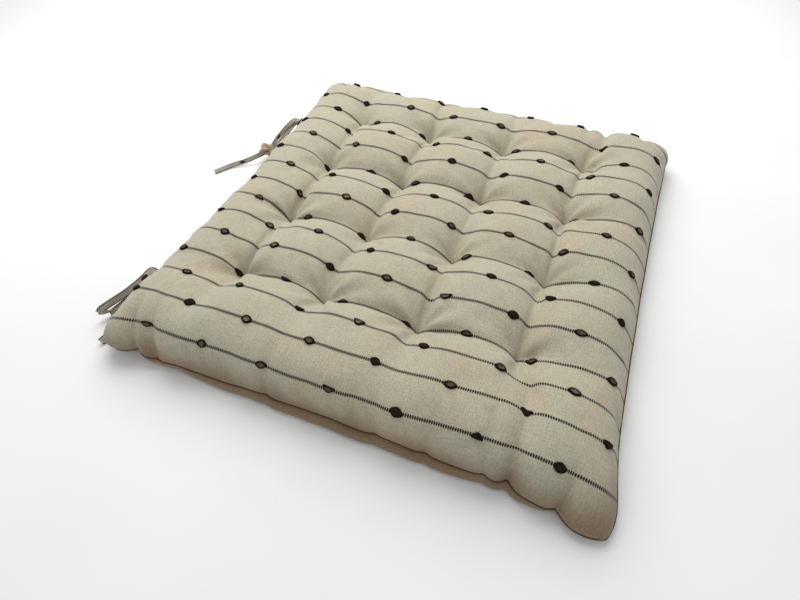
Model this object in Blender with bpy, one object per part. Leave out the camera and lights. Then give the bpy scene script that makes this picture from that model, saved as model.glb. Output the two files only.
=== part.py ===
"""A tufted seat pad: two cloth panels sewn together round their edge over a fibre filling, drawn down by a
grid of tuft threads, with two pairs of cloth ties caught in the seam of the back edge.

Metres, +Z up. The origin is the centre of the pad's underside, +Y points to the back edge, which has the ties,
and the woven stripes run from front to back, along Y.
"""

import math

import bmesh
import bpy
import numpy as np

# Driving dimensions, in metres.
PAD_X = 0.400  # side edge to side edge
PAD_Y = 0.400  # front edge to back edge
CORNER_RADIUS = 0.022  # of the pad's outline
CROWN_Z = 0.043  # top of the pillows between the tufts
SEAM_Z = 0.016  # height of the edge seam
TOP_ROUND = 0.036  # how far in from the seam the top panel reaches the crown
BOTTOM_ROUND = 0.014  # how far in from the seam the bottom panel reaches the floor
CLOTH = 0.0010  # thickness of a panel, with its raised threads
CLEARANCE = 0.0003  # gap between pieces that touch

TUFTS_EACH_WAY = 4
TUFT_PITCH_X = 0.080
TUFT_PITCH_Y = 0.080
TOP_DIMPLE = 0.018  # depth of a tuft's dimple below the crown
BOTTOM_DIMPLE = 0.005  # height of a tuft's dimple above the floor
DIMPLE_REACH = 0.020  # how far from its tuft a dimple ends
THREAD_RADIUS = 0.0009  # the bundle of threads that passes through the pad
STITCH_RADIUS = 0.0022  # the stitch or knot at each end of the bundle
STITCH_HEIGHT = 0.0008

SEAM_THREAD_RADIUS = 0.0004

TIE_X = (-0.1415, 0.1180)  # where the left and the right pair leave the back edge
TIE_RADIUS = 0.0014  # a folded strip 8 mm wide, as a round cord of about the same section
TIE_STACK = 0.0038  # from the upper tie's centre to the lower one's, at the seam
STITCHING_WIDTH = 0.012  # the dense stitching that holds a pair in the seam
STITCHING_HEIGHT = 0.010
STITCHING_DEPTH = 0.0020

EDGE_STEPS = 3  # mesh steps round the edge, from seam to crown
STITCH_SIDES = 10
TIE_STEP = 0.0056  # between two points of a tie

HOLE = THREAD_RADIUS + CLEARANCE  # half the side of the opening round a tuft thread
RIM_GAP = 2 * (SEAM_THREAD_RADIUS + CLEARANCE)  # the panels' edges stand this far apart, round the seam thread
BACK_EDGE_Y = PAD_Y / 2
TIE_ROOT_Y = BACK_EDGE_Y + CLEARANCE + STITCHING_DEPTH + 2 * CLEARANCE
TIE_REST_Z = TIE_RADIUS + CLEARANCE  # centre of a tie that lies on the floor

# The way each tie lies, as points chosen by hand: how far along X from its root, how far out past the root,
# and its height as a share of the root's height over a tie that lies on the floor.
TIE_ROUTES = {
    "right_tie_upper": [
        (0.0, 0.0, 1.0),
        (0.0, 0.0050, 1.0),
        (-0.013, 0.0065, 1.0),
        (-0.033, 0.0080, 0.84),
        (-0.0545, 0.0085, 0.62),
        (-0.066, 0.0180, 0.42),
        (-0.074, 0.0285, 0.20),
        (-0.085, 0.0420, 0.05),
        (-0.0995, 0.0525, 0.0),
    ],
    "right_tie_lower": [
        (0.0, 0.0, 1.0),
        (0.0, 0.0050, 1.0),
        (-0.013, 0.0050, 0.95),
        (-0.033, 0.0045, 0.80),
        (-0.0545, 0.0045, 0.55),
        (-0.070, 0.0035, 0.16),
        (-0.088, 0.0010, 0.0),
        (-0.108, 0.0005, 0.0),
        (-0.128, 0.0035, 0.0),
    ],
    "left_tie_upper": [
        (0.0, 0.0, 1.0),
        (0.0, 0.0050, 1.0),
        (-0.0115, 0.0070, 0.95),
        (-0.0245, 0.0124, 0.83),
        (-0.0375, 0.0194, 0.72),
        (-0.0490, 0.0250, 0.62),
        (-0.0545, 0.0275, 0.38),
        (-0.0505, 0.0245, 0.12),
        (-0.0450, 0.0175, 0.0),
        (-0.0455, 0.0100, 0.0),
        (-0.0530, 0.0055, 0.0),
        (-0.0630, 0.0045, 0.0),
        (-0.0723, 0.0055, 0.0),
    ],
    "left_tie_lower": [
        (0.0, 0.0, 1.0),
        (0.0, 0.0050, 1.0),
        (-0.0115, 0.0060, 0.85),
        (-0.0245, 0.0100, 0.66),
        (-0.0345, 0.0150, 0.52),
        (-0.0390, 0.0170, 0.28),
        (-0.0350, 0.0145, 0.04),
        (-0.0230, 0.0105, 0.0),
        (-0.0100, 0.0080, 0.0),
        (0.0050, 0.0080, 0.0),
    ],
}

CLOTH_COLOUR = (0.50, 0.46, 0.35)
CLOTH_SHADE_COLOUR = (0.36, 0.31, 0.23)
FIBRE_COLOUR = (0.80, 0.79, 0.76)
THREAD_COLOUR = (0.30, 0.24, 0.16)


def clear_scene():
    for item in list(bpy.data.objects):
        bpy.data.objects.remove(item, do_unlink=True)


def material(name, colour, roughness):
    made = bpy.data.materials.new(name)
    made.use_nodes = True
    shader = made.node_tree.nodes["Principled BSDF"]
    shader.inputs["Base Color"].default_value = (*colour, 1.0)
    shader.inputs["Roughness"].default_value = roughness
    shader.inputs["Metallic"].default_value = 0.0
    return made


def add_object(name, data, look):
    made = bpy.data.objects.new(name, data)
    data.materials.append(look)
    bpy.context.scene.collection.objects.link(made)
    return made


def add_mesh(name, points, faces, look):
    """A closed mesh from its points and faces, with its faces turned outwards."""
    mesh = bpy.data.meshes.new(name)
    mesh.from_pydata([tuple(map(float, p)) for p in points], [], [tuple(map(int, f)) for f in faces])
    shape = bmesh.new()
    shape.from_mesh(mesh)
    bmesh.ops.recalc_face_normals(shape, faces=shape.faces)
    shape.to_mesh(mesh)
    shape.free()
    mesh.shade_smooth()
    mesh.set_sharp_from_angle(angle=math.radians(35))
    return add_object(name, mesh, look)


def tuft_centres(pitch):
    return [pitch * (i - (TUFTS_EACH_WAY - 1) / 2) for i in range(TUFTS_EACH_WAY)]


def grid_lines(half, rounding, pitch):
    """Mesh lines across the pad, from -half to half: round the edge, then at each dimple's rim and opening."""
    angles = np.linspace(0, math.pi / 2, EDGE_STEPS + 1)
    edge = half - rounding * (1 - np.cos(angles))
    inner = [c + step for c in tuft_centres(pitch) for step in (-DIMPLE_REACH, -HOLE, HOLE, DIMPLE_REACH)]
    return np.array([*-edge, *inner, *edge[::-1]])


def rounded_corners(x, y, half_x, half_y, radius):
    """Each corner square of the grid bent to a quarter disc: (s, t) goes to (s sqrt(1 - t*t/2), t sqrt(1 - s*s/2))."""
    s = np.clip((abs(x) - (half_x - radius)) / radius, 0, 1)
    t = np.clip((abs(y) - (half_y - radius)) / radius, 0, 1)
    in_x = radius * s * (1 - np.sqrt(1 - t * t / 2))
    in_y = radius * t * (1 - np.sqrt(1 - s * s / 2))
    return x - np.sign(x) * in_x, y - np.sign(y) * in_y


def dimple_share(x, y):
    """1 at a tuft's opening, falling in a straight line to 0 at the dimple's rim."""
    share = np.zeros_like(x)
    for centre_x in tuft_centres(TUFT_PITCH_X):
        for centre_y in tuft_centres(TUFT_PITCH_Y):
            away = np.maximum(abs(x - centre_x), abs(y - centre_y))
            share = np.maximum(share, (DIMPLE_REACH - away) / (DIMPLE_REACH - HOLE))
    return np.clip(share, 0, 1)


def panel_surface(side, inset):
    """Points of the pad's top (side 1) or bottom (side -1) surface, moved in by inset.

    The height rises from the seam as a quarter ellipse and is then level, less the tuft dimples.
    """
    half_x, half_y = PAD_X / 2 - inset, PAD_Y / 2 - inset
    rounding = (TOP_ROUND if side > 0 else BOTTOM_ROUND) - inset
    level = CROWN_Z - inset if side > 0 else inset
    dimple = -TOP_DIMPLE if side > 0 else BOTTOM_DIMPLE
    rim = SEAM_Z + side * RIM_GAP / 2
    x, y = np.meshgrid(
        grid_lines(half_x, rounding, TUFT_PITCH_X), grid_lines(half_y, rounding, TUFT_PITCH_Y), indexing="ij"
    )
    from_edge = np.minimum(half_x - abs(x), half_y - abs(y))
    part = np.clip(1 - from_edge / rounding, 0, 1)
    z = rim + (level - rim) * np.sqrt(1 - part * part) + dimple * dimple_share(x, y)
    bent_x, bent_y = rounded_corners(x, y, half_x, half_y, CORNER_RADIUS - inset)
    return np.stack([bent_x, bent_y, z], axis=2)


def is_opening(i, j):
    """Whether the mesh cell from line i and line j is the opening round a tuft thread."""
    first, last = EDGE_STEPS + 2, EDGE_STEPS + 2 + 4 * (TUFTS_EACH_WAY - 1)
    return all(first <= n <= last and (n - first) % 4 == 0 for n in (i, j))


def sheet_solid(name, one, other, look):
    """The closed solid between two surfaces of the same grid, open through at each tuft."""
    lines = one.shape[0]
    index = np.arange(lines * lines).reshape(lines, lines)
    behind = index + lines * lines
    there = np.array([[not is_opening(i, j) for j in range(lines - 1)] for i in range(lines - 1)])
    around = np.pad(there, 1)
    faces = []
    for i, j in np.argwhere(there):
        a, b, c, d = index[i, j], index[i + 1, j], index[i + 1, j + 1], index[i, j + 1]
        e, f, g, h = behind[i, j], behind[i + 1, j], behind[i + 1, j + 1], behind[i, j + 1]
        faces += [(a, b, c), (a, c, d), (g, f, e), (h, g, e)]
        walls = {(0, -1): (a, e, f, b), (1, 0): (b, f, g, c), (0, 1): (c, g, h, d), (-1, 0): (d, h, e, a)}
        faces += [wall for (di, dj), wall in walls.items() if not around[i + 1 + di, j + 1 + dj]]
    return add_mesh(name, np.concatenate([one.reshape(-1, 3), other.reshape(-1, 3)]), faces, look)


def turned_solid(name, profile, sides, place, look):
    """A profile of (radius, height) pairs turned about Z; it starts and ends on the axis."""
    angles = np.arange(sides) * 2 * math.pi / sides
    rings = [
        [(r * math.cos(a) + place[0], r * math.sin(a) + place[1], z) for a in angles] for r, z in profile[1:-1]
    ]
    points = [(*place, profile[0][1])] + [p for ring in rings for p in ring] + [(*place, profile[-1][1])]
    last = len(points) - 1
    faces = []
    for k in range(sides):
        nxt = (k + 1) % sides
        faces += [(0, 1 + nxt, 1 + k), (last, last - sides + k, last - sides + nxt)]
        for ring in range(len(rings) - 1):
            low, high = 1 + ring * sides, 1 + (ring + 1) * sides
            faces.append((low + k, low + nxt, high + nxt, high + k))
    return add_mesh(name, points, faces, look)


def tube(name, points, radius, look, closed=False, resolution=2):
    curve = bpy.data.curves.new(name, "CURVE")
    curve.dimensions = "3D"
    curve.bevel_depth = radius
    curve.bevel_resolution = resolution
    curve.use_fill_caps = not closed
    spline = curve.splines.new("POLY")
    spline.points.add(len(points) - 1)
    spline.points.foreach_set("co", np.column_stack([points, np.ones(len(points))]).ravel())
    spline.use_cyclic_u = closed
    return add_object(name, curve, look)


def smooth_path(knots, step):
    """Points about a step apart along the Catmull-Rom curve through the knots."""
    knots = np.array(knots)
    ends = np.vstack([2 * knots[0] - knots[1], knots, 2 * knots[-1] - knots[-2]])
    t = np.linspace(0, 1, 24, endpoint=False)[:, None]
    fine = [knots[-1:]]
    for a, b, c, d in reversed(list(zip(ends, ends[1:], ends[2:], ends[3:]))):
        bent = b + (c - a) / 2 * t + (a - 2.5 * b + 2 * c - d / 2) * t**2 + (1.5 * (b - c) + (d - a) / 2) * t**3
        fine.insert(0, bent)
    fine = np.vstack(fine)
    along = np.concatenate([[0], np.cumsum(np.linalg.norm(np.diff(fine, axis=0), axis=1))])
    places = np.linspace(0, along[-1], round(along[-1] / step) + 1)
    return np.column_stack([np.interp(places, along, fine[:, axis]) for axis in range(3)])


def make_covers_and_fill(cloth, fibre):
    inside = CLOTH + CLEARANCE
    sheet_solid("top_cover", panel_surface(1, 0), panel_surface(1, CLOTH), cloth)
    sheet_solid("bottom_cover", panel_surface(-1, CLOTH), panel_surface(-1, 0), cloth)
    sheet_solid("fibre_fill", panel_surface(1, inside), panel_surface(-1, inside), fibre)


def make_seam_thread(look):
    """One thread all round, in the gap between the edges of the two panels."""
    grid = panel_surface(1, CLOTH / 2)
    outline = np.vstack([grid[:-1, 0], grid[-1, :-1], grid[:0:-1, -1], grid[0, :0:-1]])
    outline[:, 2] = SEAM_Z
    tube("seam_thread", outline, SEAM_THREAD_RADIUS, look, closed=True, resolution=1)


def stitch_end(side):
    """The end of a tuft thread as (radius, height) pairs from the shaft outwards: it follows the dimple's slope."""
    floor = CROWN_Z - TOP_DIMPLE if side > 0 else BOTTOM_DIMPLE
    slope = (TOP_DIMPLE if side > 0 else BOTTOM_DIMPLE) / (DIMPLE_REACH - HOLE)
    gap = CLEARANCE * math.hypot(1, slope)
    under = floor + side * (slope * (STITCH_RADIUS - HOLE) + gap)
    return [
        (THREAD_RADIUS, floor + side * gap),
        (STITCH_RADIUS, under),
        (STITCH_RADIUS, under + side * STITCH_HEIGHT / 2),
        (STITCH_RADIUS / 2, under + side * STITCH_HEIGHT),
        (0.0, under + side * STITCH_HEIGHT),
    ]


def make_tuft_threads(look):
    profile = stitch_end(-1)[::-1] + stitch_end(1)
    number = 0
    for y in tuft_centres(TUFT_PITCH_Y):
        for x in tuft_centres(TUFT_PITCH_X):
            number += 1
            turned_solid(f"tuft_thread_{number:02d}", profile, STITCH_SIDES, (x, y), look)


def make_tie_stitching(name, x, look):
    """The block of dense stitching that holds one pair of ties against the seam."""
    shape = bmesh.new()
    bmesh.ops.create_cube(shape, size=1)
    bmesh.ops.scale(shape, vec=(STITCHING_WIDTH, STITCHING_DEPTH, STITCHING_HEIGHT), verts=shape.verts)
    bmesh.ops.bevel(shape, geom=shape.edges[:], offset=STITCHING_DEPTH / 4, segments=1, affect="EDGES")
    mesh = bpy.data.meshes.new(name)
    shape.to_mesh(mesh)
    shape.free()
    made = add_object(name, mesh, look)
    made.location = (x, BACK_EDGE_Y + CLEARANCE + STITCHING_DEPTH / 2, SEAM_Z)


def tie_points(name):
    """A tie's route in the pad's frame, from its root in the back edge."""
    root_x = TIE_X[name.startswith("right")]
    root_z = SEAM_Z + (1 if name.endswith("upper") else -1) * TIE_STACK / 2
    return [
        (root_x + along, TIE_ROOT_Y + out, TIE_REST_Z + share * (root_z - TIE_REST_Z))
        for along, out, share in TIE_ROUTES[name]
    ]


def main():
    clear_scene()
    cloth = material("cover_cloth", CLOTH_COLOUR, 0.9)
    tie_cloth = material("tie_cloth", CLOTH_SHADE_COLOUR, 0.9)
    fibre = material("fibre", FIBRE_COLOUR, 1.0)
    thread = material("thread", THREAD_COLOUR, 0.8)
    make_covers_and_fill(cloth, fibre)
    make_seam_thread(thread)
    make_tuft_threads(thread)
    for side, x in zip(("left", "right"), TIE_X):
        make_tie_stitching(f"{side}_tie_stitching", x, thread)
    for name in TIE_ROUTES:
        tube(name, smooth_path(tie_points(name), TIE_STEP), TIE_RADIUS, tie_cloth)


main()
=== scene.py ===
# %% [markdown]
# # A tufted seat pad in striped cloth
# The object is a square chair pad: two woven panels sewn together round the edge, stuffed with loose fibre,
# and pulled flat at sixteen tufts. Two pairs of cloth ties leave the back edge.
# The frame comes first, because every piece made below replaces a solid of it and takes its place from it.

# %% Load the frame
import math

import bpy
import numpy as np
from mathutils import Matrix, Vector


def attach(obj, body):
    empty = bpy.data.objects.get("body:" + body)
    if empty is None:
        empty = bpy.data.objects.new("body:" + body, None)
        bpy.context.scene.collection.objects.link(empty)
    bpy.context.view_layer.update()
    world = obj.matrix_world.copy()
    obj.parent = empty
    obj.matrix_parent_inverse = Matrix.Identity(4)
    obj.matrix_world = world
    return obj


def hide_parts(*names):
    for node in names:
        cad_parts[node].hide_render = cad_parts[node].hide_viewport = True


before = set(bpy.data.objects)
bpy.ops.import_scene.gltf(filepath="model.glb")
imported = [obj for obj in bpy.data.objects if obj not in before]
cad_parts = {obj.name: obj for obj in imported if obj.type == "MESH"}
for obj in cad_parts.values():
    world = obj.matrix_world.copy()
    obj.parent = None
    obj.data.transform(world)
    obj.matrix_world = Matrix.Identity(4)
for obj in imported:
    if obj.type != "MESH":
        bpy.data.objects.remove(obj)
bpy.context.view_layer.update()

# %% [markdown]
# ## Camera
# The pad is seen from above one corner, close and with a wide lens, so its near edge looks clearly longer
# than its far edge. A camera could be turned by hand until it looks right. Here it is aimed at a point on
# the pad and then rolled a little, because a place, a target and a roll can be read and checked.

# %% Camera
CAMERA_PLACE = Vector((-0.3718, -0.1355, 0.3669))
CAMERA_TARGET = Vector((-0.0970, -0.0126, 0.0200))
CAMERA_ROLL = math.radians(-2.57)

camera = bpy.data.objects.new("camera", bpy.data.cameras.new("camera"))
camera.data.sensor_width = 36.0
camera.data.lens = 25.03
camera.data.clip_start = 0.01
aim = (CAMERA_TARGET - CAMERA_PLACE).to_track_quat("-Z", "Y").to_matrix()
camera.matrix_world = Matrix.Translation(CAMERA_PLACE) @ (aim @ Matrix.Rotation(CAMERA_ROLL, 3, "Z")).to_4x4()
bpy.context.scene.collection.objects.link(camera)
bpy.context.scene.camera = camera

# %% [markdown]
# ## Small helpers for shapes
# Every new piece is a grid of points worked out with whole arrays. One helper turns a grid into a mesh, with
# its cloth coordinates as a UV map. Another carries a closed profile along a path, for threads and tapes.

# %% Mesh helpers
CLOTH_SPAN = 0.60  # the UV square stands for this much cloth, in metres


def faces_of(rows, columns, wrap_rows=False, wrap_columns=False):
    """The four corners of each cell of a grid, counted row by row; a wrapped direction joins its last line
    to its first."""
    down, along = np.meshgrid(np.arange(rows - (not wrap_rows)), np.arange(columns - (not wrap_columns)),
                              indexing="ij")
    next_down, next_along = (down + 1) % rows, (along + 1) % columns
    corners = [down * columns + along, next_down * columns + along,
               next_down * columns + next_along, down * columns + next_along]
    return np.stack(corners, -1).reshape(-1, 4)


def length_of(vectors):
    """Length of each vector: the root of the sum of its squares."""
    return np.sqrt((vectors * vectors).sum(-1))


def unit(vectors):
    """Each vector divided by its own length."""
    return vectors / (length_of(vectors)[..., None] + 1e-12)


def new_mesh(name, points, faces, cloth=None, attributes=None):
    """An object from points and faces (lists of corners). cloth holds the cloth coordinates of each point,
    in metres."""
    mesh = bpy.data.meshes.new(name)
    mesh.from_pydata(points.reshape(-1, 3).tolist(), [], [list(face) for face in faces])
    corners = np.empty(len(mesh.loops), np.int32)
    mesh.loops.foreach_get("vertex_index", corners)
    if cloth is not None:
        layer = mesh.uv_layers.new(name="cloth")
        places = cloth.reshape(-1, 2)[corners] / CLOTH_SPAN + 0.5
        layer.data.foreach_set("uv", places.astype(np.float32).ravel())
    for label, values in (attributes or {}).items():
        layer = mesh.attributes.new(label, "FLOAT", "POINT")
        layer.data.foreach_set("value", values.astype(np.float32).ravel())
    mesh.shade_smooth()
    piece = bpy.data.objects.new(name, mesh)
    bpy.context.scene.collection.objects.link(piece)
    return piece


def joined(parts):
    """Several (points, faces) sets as one set, each set's face numbers raised by the points before it."""
    counts = np.cumsum([0] + [len(points.reshape(-1, 3)) for points, _ in parts])
    points = np.concatenate([points.reshape(-1, 3) for points, _ in parts])
    faces = [[int(corner) + int(start) for corner in cell]
             for start, (_, own) in zip(counts, parts) for cell in own]
    return points, faces


def path_frames(path, level=0.0):
    """Along a path: its direction, a level sideways vector turned by the angle level, and the third one
    square to both."""
    along = unit(np.gradient(path, axis=0))
    side = unit(np.cross(along, np.array([0.0, 0.0, 1.0]) + 0 * along) + 1e-9)
    side[length_of(np.cross(along, [0.0, 0.0, 1.0])) < 0.05] = (1.0, 0.0, 0.0)
    up = np.cross(side, along)
    turn = np.broadcast_to(np.asarray(level, float), path.shape[:1])[:, None]
    return along, side * np.cos(turn) + up * np.sin(turn), up * np.cos(turn) - side * np.sin(turn)


def carried(path, profile, level=0.0, closed=False, size=1.0):
    """A closed profile (across, up) carried along a path: point + across x side + up x normal. Ends get
    flat caps."""
    if closed:
        padded_path = np.concatenate([path[-2:], path, path[:2]])
        _, side, up = (vectors[2:-2] for vectors in path_frames(padded_path, level))
    else:
        _, side, up = path_frames(path, level)
    size = np.broadcast_to(np.asarray(size, float), path.shape[:1])[:, None, None]
    across, high = profile[None, :, :1], profile[None, :, 1:]
    points = path[:, None] + size * (across * side[:, None] + high * up[:, None])
    faces = faces_of(len(path), len(profile), wrap_rows=closed, wrap_columns=True).tolist()
    if not closed:
        last = len(profile) * (len(path) - 1)
        faces += [list(range(len(profile)))[::-1], [last + n for n in range(len(profile))]]
    return points, faces


def round_profile(radius, sides=8):
    """A circle as (across, up) points: radius times cosine and sine of the angle."""
    angle = np.linspace(0, 2 * np.pi, sides, endpoint=False)
    return radius * np.stack([np.cos(angle), np.sin(angle)], -1)


def smooth_path(points, step):
    """A Catmull-Rom curve through the points, resampled at even steps: each span is a cubic of its four
    nearest points."""
    points = np.asarray(points, float)
    ends = np.concatenate([[2 * points[0] - points[1]], points, [2 * points[-1] - points[-2]]])
    share = np.linspace(0, 1, 24, endpoint=False)[:, None]
    spans = [0.5 * (2 * b + (c - a) * share + (2 * a - 5 * b + 4 * c - d) * share**2
                    + (3 * b - a - 3 * c + d) * share**3)
             for a, b, c, d in zip(ends, ends[1:], ends[2:], ends[3:])]
    fine = np.concatenate(spans + [points[-1:]])
    run = np.concatenate([[0], np.cumsum(length_of(np.diff(fine, axis=0)))])
    even = np.linspace(0, run[-1], max(8, int(round(run[-1] / step))) + 1)
    return np.stack([np.interp(even, run, fine[:, n]) for n in range(3)], -1), run[-1]


def finished(piece, slot, material, *nodes):
    """What every piece needs: its material, the body it moves with, and the frame solids it stands for.
    The slot is not used."""
    piece.data.materials.append(material)
    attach(piece, "root")
    if nodes:
        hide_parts(*nodes)
    print(piece.name, len(piece.data.polygons), "faces")
    return piece


# %% [markdown]
# ## The cloth solver
# On the real pad two flat panels are sewn together, stuffed, and stitched down at sixteen points. Their
# shape, with its loaf-like pillows and sharp valleys from tuft to tuft, comes from cloth that cannot
# stretch. It could be sculpted, or run with Blender's own Cloth. Here
# the panels are two grids of threads in numpy. Each step blows them apart a little, as the filling does,
# and then pulls every thread back to the length it was cut to, which is where the creases come from.

# %% The cut of the cloth
PITCH = 0.080  # between tufts on the finished pad
FLAT_PITCH = 0.0850  # of cloth between two tufts
NEAR, FAR, SIDE = 1.34, 1.10, 1.10  # border beyond the outer tufts, in flat pitches
EDGE_NEAR, EDGE_FAR, EDGE_SIDE = -0.2150, 0.2010, 0.1985  # where the seam lies on the finished pad
SEAM_HEIGHT = 0.0095  # at the near edge; the other edges lie a little higher
CROWN = 0.0455
TUFT_TOP, TUFT_BOTTOM = 0.0185, 0.004
UNDER_SLACK = 1.05  # the under panel is cut this much larger than the finished outline
CORNER = 0.034  # the panels' corners are cut round
THIRD = FLAT_PITCH / 3  # between two stripes
EDGES = np.s_[0], np.s_[-1], np.s_[:, 0], np.s_[:, -1]  # the seam rows of a grid: near, far, right, left
CORNER_REACH = 0.045  # how far the near corners' droop and pull fade out
DROOP_OUT, DROOP_SIDE, DROOP_DOWN = 0.0105, 0.0065, 0.0035  # of the near right corner
PULL_OUT, PULL_SIDE, PULL_UP = 0.003, 0.005, 0.003  # of the near left corner
rng = np.random.default_rng(7)
TUFT_SHIFT = rng.uniform(-1, 1, (4, 4, 3)) * (0.0010, 0.0010, 0.0025)
# The two near rows are sewn a little nearer the near edge, and the near right tuft more to the left, in
# millimetres.
TUFT_SHIFT[0, :, :2] += np.array([(-5.0, 3.5), (-7.0, 1.0), (-5.0, 2.0), (-2.0, 0.5)]) / 1000
TUFT_SHIFT[1, :, :2] += np.array([(-4.0, 0.0), (-5.0, -1.5), (-5.0, -1.5), (-3.0, 0.0)]) / 1000


def cloth_lines(m, low, high):
    """The flat places of the grid lines, m cells to a pitch, with a line on every tuft row, and the tuft
    rows' numbers."""
    below, above = round(low * m), round(high * m)
    tufts = FLAT_PITCH * (np.arange(3 * m + 1) / m - 1.5)
    first = tufts[0] - FLAT_PITCH * low * np.linspace(1, 0, below, endpoint=False)
    last = tufts[-1] + FLAT_PITCH * high * np.linspace(0, 1, above + 1)[1:]
    return np.concatenate([first, tufts, last]), below + m * np.arange(4)


def flat_panel(u, v):
    """Flat cloth coordinates of the grid, its corners drawn in to quarter ellipses as a square is mapped to
    a disc."""
    across, along = np.meshgrid(u, v, indexing="ij")
    grid = np.stack([across, along], -1)
    middle, half = (grid[0, 0] + grid[-1, -1]) / 2, (grid[-1, -1] - grid[0, 0]) / 2
    past = np.clip((abs(grid - middle) - (half - CORNER)) / CORNER, 0, 1)
    drawn = past * (1 - np.sqrt(1 - past[..., ::-1] ** 2 / 2))
    return grid - np.sign(grid - middle) * CORNER * drawn


def smooth_noise(shape, cells, seed):
    """Random numbers on a coarse grid of cells, joined smoothly: between two of them the share runs
    as 3t2 - 2t3."""
    values = np.random.default_rng(seed).standard_normal((cells + 1, cells + 1))
    for axis, count in enumerate(shape):
        at = np.linspace(0, cells - 1e-6, count)
        low = at.astype(int)
        share = (at - low) ** 2 * (3 - 2 * (at - low))
        share = share[:, None] if axis == 0 else share[None, :]
        values = np.take(values, low, axis) * (1 - share) + np.take(values, low + 1, axis) * share
    return values


def resampled(grid, old, new, axis):
    """The grid's lines at new flat places, each a straight mix of the two old lines beside it."""
    at = np.interp(new, old, np.arange(len(old)))
    low = np.minimum(at.astype(int), len(old) - 2)
    shape = [1] * grid.ndim
    shape[axis] = len(new)
    share = (at - low).reshape(shape)
    return np.take(grid, low, axis) * (1 - share) + np.take(grid, low + 1, axis) * share


print("cut size of a panel", [round(FLAT_PITCH * (3 + a), 3) for a in (NEAR + FAR, 2 * SIDE)], "m")

# %% [markdown]
# The first guess is a low dome over the finished outline. A thread is a pair of neighbouring points, and
# the pairs are taken in two turns, even and odd, so that no point is moved twice at once and whole arrays
# can move. Threads resist stretching fully and pushing together only a little, which lets the cloth buckle
# into folds.

# %% Threads and the first guess
def thread_pairs():
    """Pairs of slices that pick the two ends of every thread, along, across and on both diagonals, in even
    and odd turns."""
    pairs = []
    for odd in (0, 1):
        here, there = slice(odd, -1, 2), slice(odd + 1, None, 2)
        every, first, rest = slice(None), slice(None, -1), slice(1, None)
        pairs += [((here, every), (there, every), 1.0, 0.25), ((every, here), (every, there), 1.0, 0.25),
                  ((here, first), (there, rest), 0.15, 0.075), ((here, rest), (there, first), 0.15, 0.075)]
    return pairs


def thread_rests(flat, shrink):
    """How long every thread is at rest: its flat length, and a little less along the seam, which draws the
    edge in."""
    rests = []
    for one, other, *_ in thread_pairs():
        rest = length_of(flat[other] - flat[one])
        if one[1] == slice(None):
            rest[:, [0, -1]] *= shrink
        if one[0] == slice(None):
            rest[[0, -1]] *= shrink
        rests.append(rest)
    return rests


def first_guess(flat, u, v):
    """Cloth coordinates mapped straight to the finished outline, under a dome that rises as a quarter
    circle from the seam."""
    tuft = 1.5 * FLAT_PITCH, 1.5 * PITCH
    x = np.interp(flat[..., 0], [u[0], -tuft[0], tuft[0], u[-1]], [EDGE_NEAR, -tuft[1], tuft[1], EDGE_FAR])
    y = np.interp(flat[..., 1], [v[0], -tuft[0], tuft[0], v[-1]], [-EDGE_SIDE, -tuft[1], tuft[1], EDGE_SIDE])
    inside = np.minimum(np.minimum(x - EDGE_NEAR, EDGE_FAR - x), EDGE_SIDE - abs(y))
    rise = np.sqrt(1 - (1 - np.clip(inside / 0.035, 0, 1)) ** 2)
    top = np.stack([x, y, SEAM_HEIGHT + (CROWN - 0.004 - SEAM_HEIGHT) * rise], -1)
    bottom = np.stack([x, y, SEAM_HEIGHT * (1 - rise) + 0.001], -1)
    rim = np.ones(x.shape, bool)
    rim[1:-1, 1:-1] = False
    bottom[rim] = top[rim]
    return np.stack([top, bottom])


def rim_target(flat):
    """Where the seam wants to lie: drawn in between the corners, by the square of the way along each edge.
    The near right corner droops out and down and the near left one is drawn out and up, both by a bell
    curve of the distance from the corner."""
    from_corner = length_of((flat - flat[0, 0]) / CORNER_REACH)
    droop = np.exp(-from_corner**2)
    bow_near = 0.006 * (flat[..., 1] / 0.2) ** 2
    bow_side = 0.003 * (flat[..., 0] / 0.2) ** 2
    height = (SEAM_HEIGHT + 0.0035 * np.clip(flat[..., 0] / 0.1 + 2, 0, 1)
              + 0.0015 * np.clip(flat[..., 1] / 0.1 - 1, 0, 1))
    height = (height + 0.0011 * np.sin(flat[..., 1] * 105 + 1.0)
              + 0.0007 * np.sin(flat[..., 1] * 171 + flat[..., 0] * 90))
    left = np.exp(-((length_of(flat - flat[0, -1]) / CORNER_REACH) ** 2))
    round_u, round_v = flat[[0, -1], :, 0], flat[:, [0, -1], 1]
    cut_near, cut_far = round_u[0] - round_u[0].min(), round_u[1].max() - round_u[1]
    cut_right, cut_left = round_v[:, :1] - round_v[:, 0].min(), round_v[:, 1].max() - round_v[:, 1:]
    return (EDGE_NEAR + 0.003 - bow_near - DROOP_OUT * droop - PULL_OUT * left
            + (0.85 - 0.25 * droop) * cut_near,
            EDGE_FAR - 0.002 + 0.3 * bow_near - 0.5 * cut_far,
            -(EDGE_SIDE - 0.002 + bow_side + DROOP_SIDE * droop) + 0.5 * cut_right,
            EDGE_SIDE - 0.002 + bow_side + PULL_SIDE * left - cut_left,
            height - DROOP_DOWN * droop + PULL_UP * left)


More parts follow.
